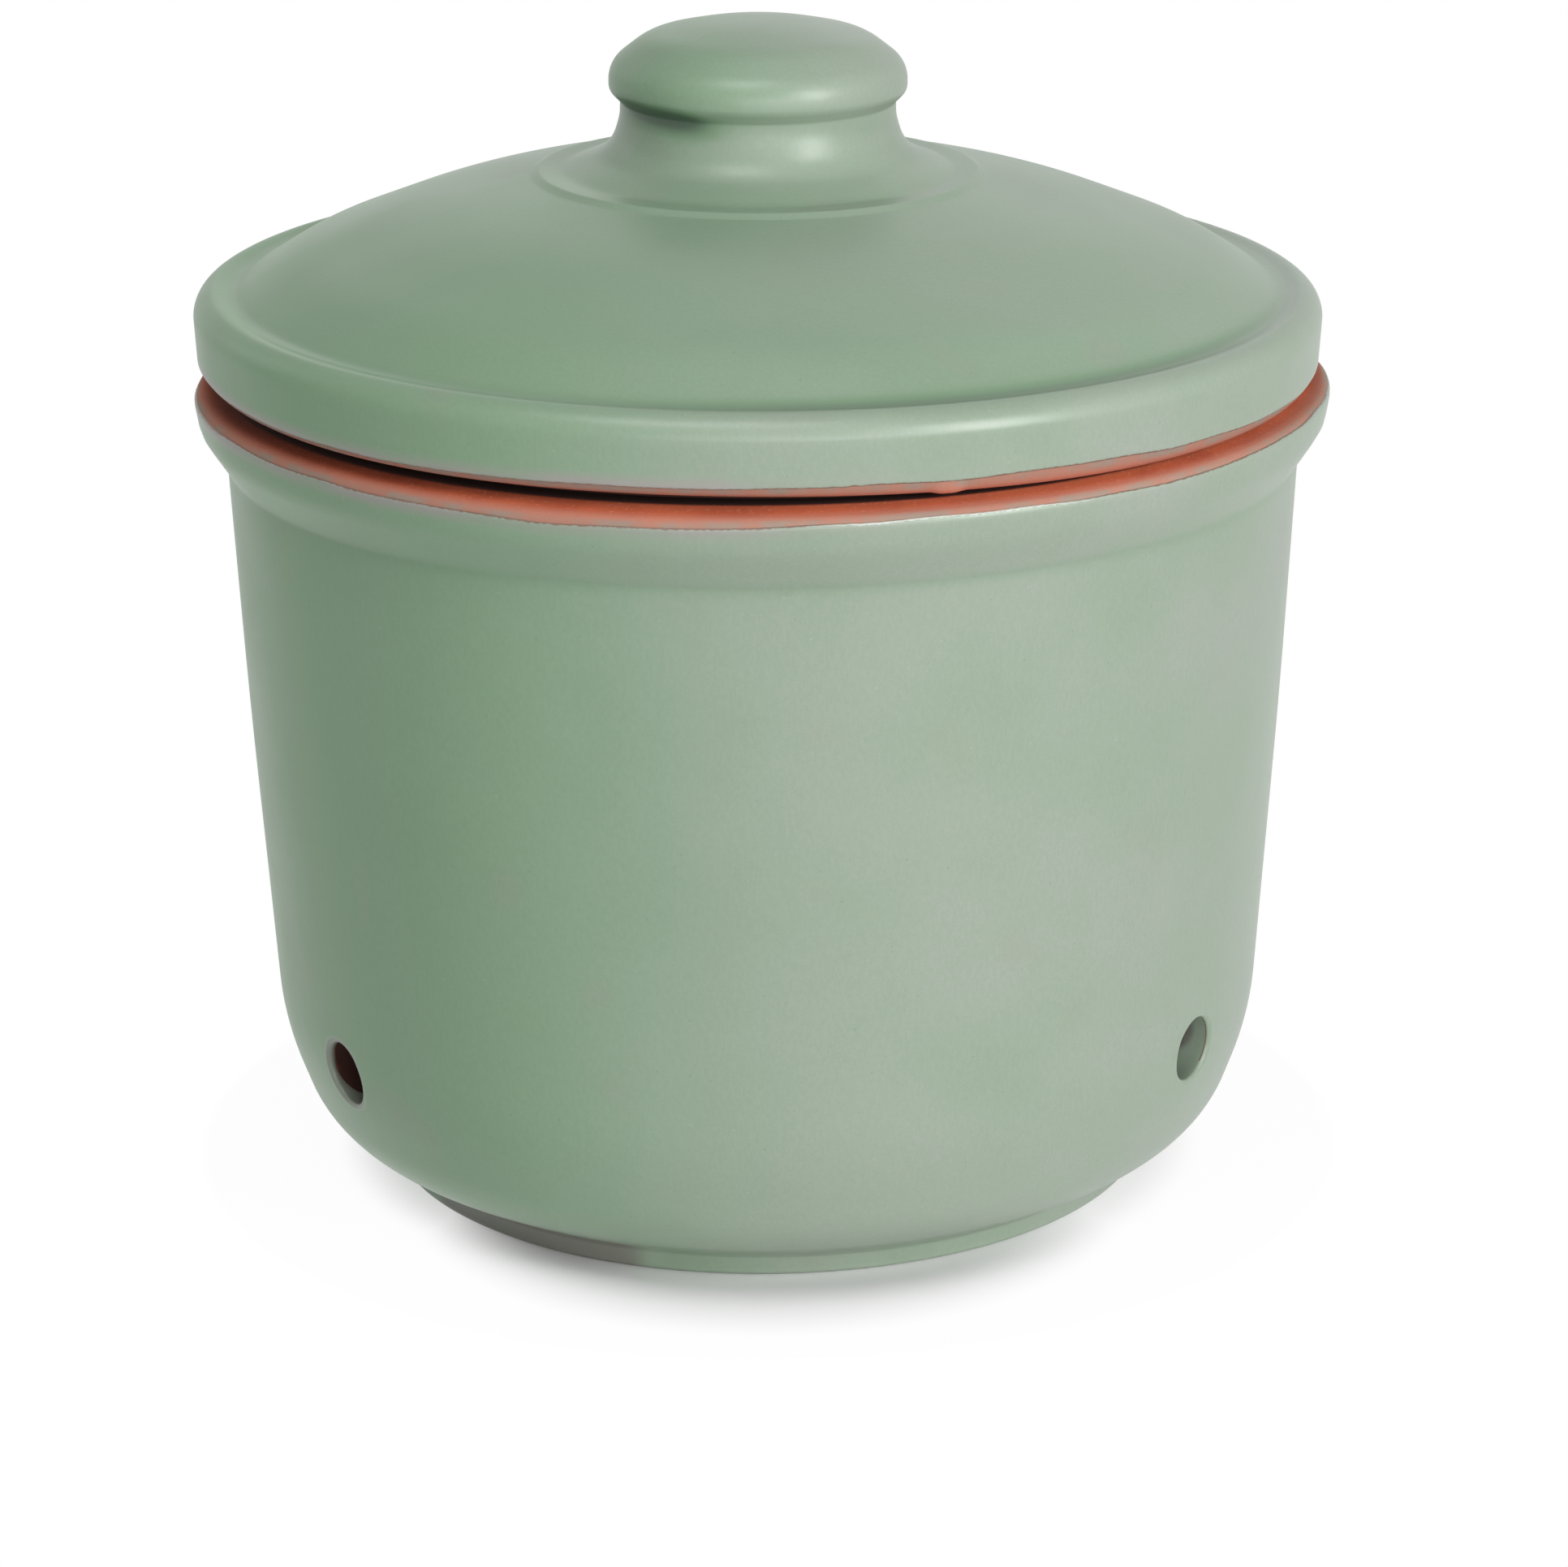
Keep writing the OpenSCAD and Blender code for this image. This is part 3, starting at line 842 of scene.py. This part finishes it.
def make_lid_clay():
    """The whole turned lid: raw underneath and along its lower edge, and sunk under the glaze."""
    shell = Shell()
    surface = Turned(shell, LID)
    edge_low = LID.find(EDGE_Z, LID.widest - 14, LID.widest - 8)
    surface.tip(0, 0.0)
    angle = angles(MID)
    turn = (angle - NIB_ANGLE + math.pi) % (2 * math.pi) - math.pi
    # Painted shade underneath the lid, deepening towards its lower edge
    for at in LID.rows(0, edge_low - 3, LID_UNDER_ROW):
        surface.row(at, tone=-held((at - edge_low + 9) / 4))
    for at in LID.rows(edge_low - 3, LID_LINE + 2, LID_EDGE_ROW):
        sunk = GLAZE * held((at - LID_LINE + 1.6) / 1.6)
        nib = np.exp(-((turn * LID_R / NIB_WIDTH) ** 4)) * math.exp(-(((at - edge_low - 1) / 1.6) ** 2))
        # Painted shade along the lower edge, deepest at its lower rounding and lighter on the nib
        dark = -(0.35 + 0.65 * held((edge_low + 1.1 - at) / 0.5)) * (1 - 0.6 * nib)
        edge = LID_LINE + lid_wander(angle) - at
        surface.row(at, sunk - NIB_DROP * nib, MID, edge=edge, tone=dark)
    surface.lay(LID.rows(LID_LINE + 2, LID.end, UNDER_ROW), GLAZE)
    surface.tip(LID.end, GLAZE)
    return shell.build("lid_clay", askew)


def knob_painted_shadow(points):
    """1 where a painted shadow, nearly black, falls in the crease under one side of the knob."""
    angle, height = np.arctan2(points[:, 0], -points[:, 1]), points[:, 2] - KNOB_LOW_Z
    side = np.exp(-(((angle - KNOB_SHADOW_ANGLE) / KNOB_SHADOW_SPREAD) ** 4))
    under = np.exp(-(((height - 0.4 + 1.2 * (angle - KNOB_SHADOW_ANGLE)) / KNOB_SHADOW_DEPTH) ** 2))
    return side * under


def valley_pool_and_shade(points):
    """1 where the glaze has pooled in the valley along one side of the front, with painted shade there."""
    angle, radius = np.arctan2(points[:, 0], -points[:, 1]), np.hypot(points[:, 0], points[:, 1])
    side = np.exp(-(((angle - VALLEY_ANGLE) / VALLEY_SPREAD) ** 4))
    return side * np.exp(-(((radius - VALLEY_R) / VALLEY_WIDTH) ** 2))


def make_lid_glaze():
    """The glaze over the lid, from the line along its lower edge up to the top of the knob."""
    shell = Shell()
    surface = Turned(shell, LID)
    glaze_edge(surface, LID_LINE, lid_line, 1)
    surface.lay(LID.rows(LID_LINE + EDGE_ROWS[-1][0], LID.end))
    surface.tip(LID.end, 0.0)
    for ring, points in enumerate(shell.points):
        near_knob = np.hypot(points[:, 0], points[:, 1]) < KNOB_REACH
        tone = np.where(near_knob, np.maximum(shell.tone[ring], KNOB_TONE), shell.tone[ring])
        # Painted shadow under the knob, and pooled glaze with painted shade in the valley
        shell.tone[ring] = tone - KNOB_SHADOW_TONE * knob_painted_shadow(points) - VALLEY_TONE * valley_pool_and_shade(points)
    surface.tip(LID.end, GLAZE_BURIED)
    surface.lay(LID.rows(LID.end, LID_LINE + 2 * BACK_ROW, HIDDEN_ROW), GLAZE_BURIED)
    surface.row(LID_LINE + BACK_ROW, GLAZE_BURIED, MID, edge=0.0)
    surface.close()
    return shell.build("lid_glaze", askew)


# ---- materials
def node(tree, kind, inputs=None, **settings):
    """A shader node, with its settings and its inputs, each a value or another node's output."""
    made = tree.nodes.new("ShaderNode" + kind)
    for name, value in settings.items():
        setattr(made, name, value)
    for name, value in (inputs or {}).items():
        if isinstance(value, bpy.types.NodeSocket):
            tree.links.new(value, made.inputs[name])
        else:
            made.inputs[name].default_value = value
    return made


def new_material(name):
    material = bpy.data.materials.new(name)
    material.use_nodes = True
    material.node_tree.nodes.clear()
    return material, material.node_tree


def paint(tree, name):
    return node(tree, "Attribute", attribute_name=name).outputs["Fac"]


def place_on_piece(tree, stretch=(1, 1, 1)):
    """The point on the piece, in millimetres, squeezed or stretched along each axis."""
    where = node(tree, "TexCoord").outputs["Object"]
    scale = tuple(s / MM for s in stretch)
    return node(tree, "Mapping", {"Vector": where, "Scale": scale}).outputs["Vector"]


def noise(tree, where, size, detail=2.0, roughness=0.5):
    """Noise whose features are about that many millimetres across."""
    inputs = {"Vector": where, "Scale": 1 / size, "Detail": detail, "Roughness": roughness}
    return node(tree, "TexNoise", inputs).outputs["Fac"]


def dots(tree, where, spacing, radius, soft):
    """1 inside sparse round dots of that radius, falling to 0 at the soft radius."""
    cells = node(tree, "TexVoronoi", {"Vector": where, "Scale": 1 / spacing})
    return ramp(tree, cells.outputs["Distance"], radius / spacing, soft / spacing, 1.0, 0.0)


def ramp(tree, value, low, high, to_low=0.0, to_high=1.0):
    """A smooth step from one value to another."""
    inputs = {"Value": value, "From Min": low, "From Max": high, "To Min": to_low, "To Max": to_high}
    return node(tree, "MapRange", inputs, interpolation_type="SMOOTHSTEP").outputs["Result"]


def colour_mix(tree, share, a, b):
    """One colour with a share of another over it, each a node's output or red, green and blue."""
    a, b = ((*colour, 1.0) if isinstance(colour, tuple) else colour for colour in (a, b))
    return node(tree, "Mix", {0: share, 6: a, 7: b}, data_type="RGBA").outputs[2]


def layered(tree, colour, *layers):
    """A colour with others over it, each as (value, low, high, share at low, share at high, colour)."""
    for value, low, high, share_low, share_high, over in layers:
        colour = colour_mix(tree, ramp(tree, value, low, high, share_low, share_high), colour, over)
    return colour


def reckon(tree, operation, a, b):
    return node(tree, "Math", {0: a, 1: b}, operation=operation).outputs[0]


def times(tree, a, b):
    return reckon(tree, "MULTIPLY", a, b)


def bump(tree, height, deep, below=None):
    """A relief of that many millimetres, on top of another one."""
    inputs = {"Height": height, "Strength": 1.0, "Distance": deep * MM}
    if below is not None:
        inputs["Normal"] = below
    return node(tree, "Bump", inputs).outputs["Normal"]


def principled(tree, colour, roughness, normal, ior):
    inputs = {"Base Color": colour, "Roughness": roughness, "Normal": normal, "IOR": ior}
    shader = node(tree, "BsdfPrincipled", inputs)
    node(tree, "OutputMaterial", {"Surface": shader.outputs["BSDF"]})


# Glaze: roughness where it clouds least and most, index of refraction, and colours
GLAZE_ROUGHNESS, GLAZE_IOR = (0.33, 0.40), 1.5
SAGE_GREEN = (0.210, 0.345, 0.208)
# Greyer, as painted sheen on the lit side
SAGE_SHEEN_GREY = (0.282, 0.347, 0.272)
SAGE_DEEP = (0.150, 0.262, 0.148)
# Deeper green, as painted shade on the far left
SAGE_SHADE_GREEN = (0.125, 0.320, 0.115)
SAGE_LILAC = (0.345, 0.365, 0.338)
SAGE_PALE = (0.325, 0.395, 0.318)
BLUSH = (0.300, 0.290, 0.245)
THIN_LILAC = (0.335, 0.300, 0.290)
# Grey brown: worn glaze with painted shade on the foot, and painted shade deep in the vents
BROWN_WEAR_AND_SHADE = (0.205, 0.195, 0.175)
# Iron brown at the glaze's edge, also standing in for the shade under its lip
LIP_BROWN = (0.190, 0.105, 0.075)
# Pale specks in the glaze, and the painted highlight on its lip
PALE_SPECK_AND_HIGHLIGHT = (0.620, 0.645, 0.590)
PINHOLE = (0.110, 0.170, 0.115)
# Nearly black: the painted shadow under the knob, and the darkest pooled glaze with painted shade in
# creases
DARK_POOL_AND_SHADOW = (0.045, 0.080, 0.052)


def glaze_ground(tree, where, sides, cloud, streak):
    """Painted light and shade: greener on the shaded left and deeper still at the far left, greyer as a
    painted sheen towards the lit right, less so on the dome, with lilac clouds, more of them on the lit
    side, and faint streaks.
    """
    across, height = sides["X"], sides["Z"]
    # Painted sheen: greyer towards the lit right, less on the dome
    off_dome = reckon(tree, "MAXIMUM", ramp(tree, height, CREST_Z + 0.5, CREST_Z - 1.5),
                      ramp(tree, height, STEP_Z - 0.5, STEP_Z + 3.5))
    off_dome = ramp(tree, off_dome, 0, 1, 0.6, 1.0)
    on_knob = ramp(tree, height, STEP_Z + 6, STEP_Z + 12)
    greyer = {0: on_knob, 2: ramp(tree, across, -42, 6), 3: ramp(tree, across, -18, 14)}
    greyer = node(tree, "Mix", greyer).outputs[0]
    colour = colour_mix(tree, times(tree, greyer, off_dome), SAGE_GREEN, SAGE_SHEEN_GREY)
    # Painted shade: a deeper green at the far left
    colour = layered(tree, colour, (across, -44, -62, 0.0, 0.45, SAGE_SHADE_GREEN))
    # Lilac clouds, with more of them towards the lit right as part of the painted sheen
    lilac_and_sheen_side = times(tree, ramp(tree, across, -20, 45, 0.05, 0.5), off_dome)
    lilac_cloud = times(tree, ramp(tree, cloud, 0.42, 0.68), lilac_and_sheen_side)
    colour = colour_mix(tree, lilac_cloud, colour, SAGE_LILAC)
    return layered(
        tree,
        colour,
        (cloud, 0.30, 0.48, 0.12, 0.0, SAGE_DEEP),
        (noise(tree, where, 13, 1), 0.64, 0.80, 0.0, 0.25, BLUSH),
        (streak, 0.30, 0.72, 0.15, 0.0, SAGE_DEEP),
    )


def glaze_tones(tree, where, colour):
    """Deeper green where glaze has pooled and as painted shade in creases, paler where it is thin, grey
    brown as worn glaze and as painted shade, nearly black as the painted shadow under the knob, and small
    dots all over.
    """
    tone = paint(tree, "tone")
    # Pooled glaze with painted shade in creases, thin glaze, grey brown wear and painted shade, and the
    # painted shadow under the knob
    colour = layered(
        tree,
        colour,
        (tone, -0.75, -0.05, 0.7, 0.0, SAGE_DEEP),
        (tone, 0.3, 1.0, 0.0, 0.5, SAGE_PALE),
        (tone, 1.0, 1.6, 0.0, 0.9, BROWN_WEAR_AND_SHADE),
        (tone, -2.0, -0.5, 0.85, 0.0, DARK_POOL_AND_SHADOW),
    )
    colour = colour_mix(tree, times(tree, dots(tree, where, 3.1, 0.06, 0.2), 0.3), colour, PINHOLE)
    pale_dots = dots(tree, place_on_piece(tree, (0.93, 1.07, 1.01)), 4.3, 0.08, 0.24)
    colour = colour_mix(tree, times(tree, pale_dots, 0.12), colour, PALE_SPECK_AND_HIGHLIGHT)
    return layered(tree, colour, (noise(tree, where, 0.2, 1), 0.35, 0.65, 0.10, 0.0, SAGE_DEEP))


def glaze_edges(tree, where, sides, colour):
    """Lilac where the glaze thins out to the clay, and a brown line at its edge, with a painted highlight
    in one place.
    """
    across = sides["X"]
    edge = paint(tree, "edge")
    worn = times(tree, ramp(tree, edge, 0.4, 2.1, 0.8, 0.0), ramp(tree, across, 22, -12, 0.15, 1.0))
    worn = times(tree, worn, ramp(tree, noise(tree, where, 17, 1), 0.4, 0.6, 0.5, 1.0))
    colour = colour_mix(tree, worn, colour, THIN_LILAC)
    # A painted highlight on the rim's glaze lip, at the front right under the lid, ragged along its width
    painted_highlight_side = times(tree, ramp(tree, across, 3, 13), ramp(tree, across, 42, 30))
    painted_highlight_side = times(tree, painted_highlight_side, ramp(tree, sides["Y"], 0, -20))
    painted_highlight_side = times(tree, painted_highlight_side, ramp(tree, sides["Z"], POT_TOP + 0.2, POT_TOP - 0.4))
    unsteady = ramp(tree, noise(tree, where, 0.6, 2), 0.3, 0.7, -0.06, 0.06)
    reach = reckon(tree, "ADD", edge, unsteady)
    pale = times(tree, ramp(tree, reach, 0.30, 0.42, 0.9, 0.0), painted_highlight_side)
    # The brown line at the glaze's edge: iron brown where the glaze ends, with painted shade under its lip
    colour = layered(tree, colour, (reach, 0.14, 0.30, 0.9, 0.0, LIP_BROWN))
    return colour_mix(tree, times(tree, pale, ramp(tree, edge, 0.08, 0.2)), colour, PALE_SPECK_AND_HIGHLIGHT)


def sage_glaze():
    """Satin glaze, with the faint relief of the streaks that ran down it."""
    material, tree = new_material("sage_glaze")
    where = place_on_piece(tree)
    sides = node(tree, "SeparateXYZ", {"Vector": where}).outputs
    cloud = noise(tree, where, 24, 3)
    streak = noise(tree, place_on_piece(tree, (1, 1, 0.5)), 0.5, 2, 0.6)
    colour = glaze_ground(tree, where, sides, cloud, streak)
    colour = glaze_edges(tree, where, sides, glaze_tones(tree, where, colour))
    relief = bump(tree, noise(tree, where, 1.7, 1), 0.012)
    relief = bump(tree, streak, 0.008, relief)
    principled(tree, colour, ramp(tree, cloud, 0.3, 0.7, *GLAZE_ROUGHNESS), relief, GLAZE_IOR)
    return material


# Clay: roughness, index of refraction, and colours
CLAY_ROUGHNESS, CLAY_IOR = 0.88, 1.45
CLAY = (0.68, 0.150, 0.062)
CLAY_DARK = (0.54, 0.108, 0.046)
CLAY_FLECK = (0.80, 0.36, 0.22)
CLAY_PINK = (0.46, 0.195, 0.135)
CLAY_POWDER = (0.32, 0.250, 0.200)
# Painted shade, for the gap under the lid and the insides of the vents
CLAY_PAINTED_SHADE = (0.042, 0.013, 0.008)


def bare_terracotta():
    """Raw fired clay: grainy orange red, pinker and dusty next to the glaze, with painted shade in the gaps
    and vents.
    """
    material, tree = new_material("bare_terracotta")
    where = place_on_piece(tree)
    edge = paint(tree, "edge")
    grain = noise(tree, where, 0.5, 3, 0.65)
    uneven = noise(tree, where, 4, 2)
    colour = layered(
        tree,
        colour_mix(tree, ramp(tree, noise(tree, where, 9, 3), 0.3, 0.7), CLAY_DARK, CLAY),
        (grain, 0.25, 0.45, 0.4, 0.0, CLAY_DARK),
        (grain, 0.56, 0.74, 0.0, 0.5, CLAY_FLECK),
        (edge, 0.9, 3.0, 0.8, 0.0, CLAY_PINK),
    )
    dusty = times(tree, ramp(tree, edge, 0.3, 1.3, 1.0, 0.0), ramp(tree, uneven, 0.35, 0.65, 0.35, 0.95))
    colour = colour_mix(tree, dusty, colour, CLAY_POWDER)
    # Painted shade where the clay's tone is below 0
    colour = layered(tree, colour, (paint(tree, "tone"), -1.0, -0.1, 1.0, 0.0, CLAY_PAINTED_SHADE))
    relief = bump(tree, noise(tree, where, 2.6, 2), 0.05)
    relief = bump(tree, grain, 0.05, relief)
    principled(tree, colour, CLAY_ROUGHNESS, relief, CLAY_IOR)
    return material


# ---- stage and light
WHITE = (1, 1, 1, 1)
PAPER = (0.93, 0.905, 0.93, 1)
FLOOR_HALF = 6.0
# The shadow on the floor fades into white between these distances in millimetres: in front, from a centre
# there, and round the foot, from the axis. There the white has these shares, and it is whole in the end.
SHADOW_CENTRE = (0, -21.6, 0)
SHADOW_FRONT = (31.5, 47.5)
SHADOW_RING = (47.5, 57.0)
RING_SHARES = (0.56, 0.97)
WHITE_ENDS = (55, 75)
# Lamps: name, azimuth and elevation in degrees, width and height in metres, and power in watts
LAMPS = (
    ("key", 45, 19, (0.4, 0.7), 11.2),
    ("top", -20, 64, (0.6, 0.6), 5.5),
    ("fill", 8, 6, (1.1, 0.3), 4.9),
    ("side", -122, 24, (0.6, 0.6), 0.6),
    ("back", 180, 25, (0.8, 0.4), 0.35),
)
LAMP_DISTANCE = 1.3
LAMP_TARGET = (0, 0, 0.07)
AMBIENT = 0.08


def seen_directly(tree):
    """1 for rays from the camera, or that gloss or glass sends on."""
    rays = node(tree, "LightPath").outputs
    seen = reckon(tree, "ADD", rays["Is Camera Ray"], rays["Is Glossy Ray"])
    seen = node(tree, "Math", {0: seen, 1: rays["Is Transmission Ray"]}, use_clamp=True)
    return seen.outputs[0]


def floor_material():
    """A white sweep. The shaded paper shows close to the pot, and fades into white around it."""
    material, tree = new_material("floor")
    where = place_on_piece(tree)

    def from_centre(centre, *steps):
        apart = node(tree, "VectorMath", {0: where, 1: centre}, operation="DISTANCE")
        return ramp(tree, apart.outputs["Value"], *steps)

    near = reckon(tree, "MINIMUM", from_centre((0, 0, 0), *SHADOW_RING, *RING_SHARES),
                  from_centre(SHADOW_CENTRE, *SHADOW_FRONT))
    white_share = reckon(tree, "MAXIMUM", near, from_centre((0, 0, 0), *WHITE_ENDS))
    paper = node(tree, "BsdfDiffuse", {"Color": PAPER}).outputs[0]
    white = node(tree, "Emission", {"Color": WHITE, "Strength": 1.0}).outputs[0]
    share = times(tree, white_share, seen_directly(tree))
    mixed = node(tree, "MixShader", {0: share, 1: paper, 2: white})
    node(tree, "OutputMaterial", {"Surface": mixed.outputs[0]})
    return material


def add_floor():
    h = FLOOR_HALF
    mesh = bpy.data.meshes.new("floor")
    mesh.from_pydata([(-h, -h, 0), (h, -h, 0), (h, h, 0), (-h, h, 0)], [], [(0, 1, 2, 3)])
    mesh.materials.append(floor_material())
    floor = bpy.data.objects.new("floor", mesh)
    bpy.context.scene.collection.objects.link(floor)


def add_world():
    """A white room that the lens and the gloss see, and that lights the pot only a little."""
    world = bpy.data.worlds.new("white_room")
    world.use_nodes = True
    tree = world.node_tree
    tree.nodes.clear()
    dim = node(tree, "Background", {"Color": WHITE, "Strength": AMBIENT}).outputs[0]
    white = node(tree, "Background", {"Color": WHITE, "Strength": 1.0}).outputs[0]
    mixed = node(tree, "MixShader", {0: seen_directly(tree), 1: dim, 2: white})
    node(tree, "OutputWorld", {"Surface": mixed.outputs[0]})
    bpy.context.scene.world = world


def add_lamp(name, azimuth, elevation, size, power):
    """A soft box that faces the pot. Azimuth runs from the front towards the right."""
    data = bpy.data.lights.new(name, "AREA")
    data.shape = "RECTANGLE"
    data.size, data.size_y = size
    data.energy = power
    lamp = bpy.data.objects.new(name, data)
    a, e = math.radians(azimuth), math.radians(elevation)
    away = np.array([math.sin(a) * math.cos(e), -math.cos(a) * math.cos(e), math.sin(e)])
    side = np.array([math.cos(a), math.sin(a), 0.0])
    set_up(lamp, side, np.cross(away, side), away, np.array(LAMP_TARGET) + away * LAMP_DISTANCE)


# ---- the scene
def add_piece(piece, body, material):
    piece.data.materials.append(material)
    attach(piece, body)
    return piece


def main():
    bpy.context.scene.view_settings.view_transform = "Standard"
    add_camera()
    glaze, clay = sage_glaze(), bare_terracotta()
    vents = [Vent(*place, glazing) for place, glazing in zip(VENTS, VENT_GLAZE)]
    add_piece(make_pot_clay(vents), "pot", clay)
    add_piece(make_lid_clay(), "lid", clay)
    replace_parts(add_piece(make_pot_glaze(vents), "pot", glaze), "pot")
    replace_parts(add_piece(make_lid_glaze(), "lid", glaze), "lid")
    add_floor()
    add_world()
    for lamp in LAMPS:
        add_lamp(*lamp)


main()
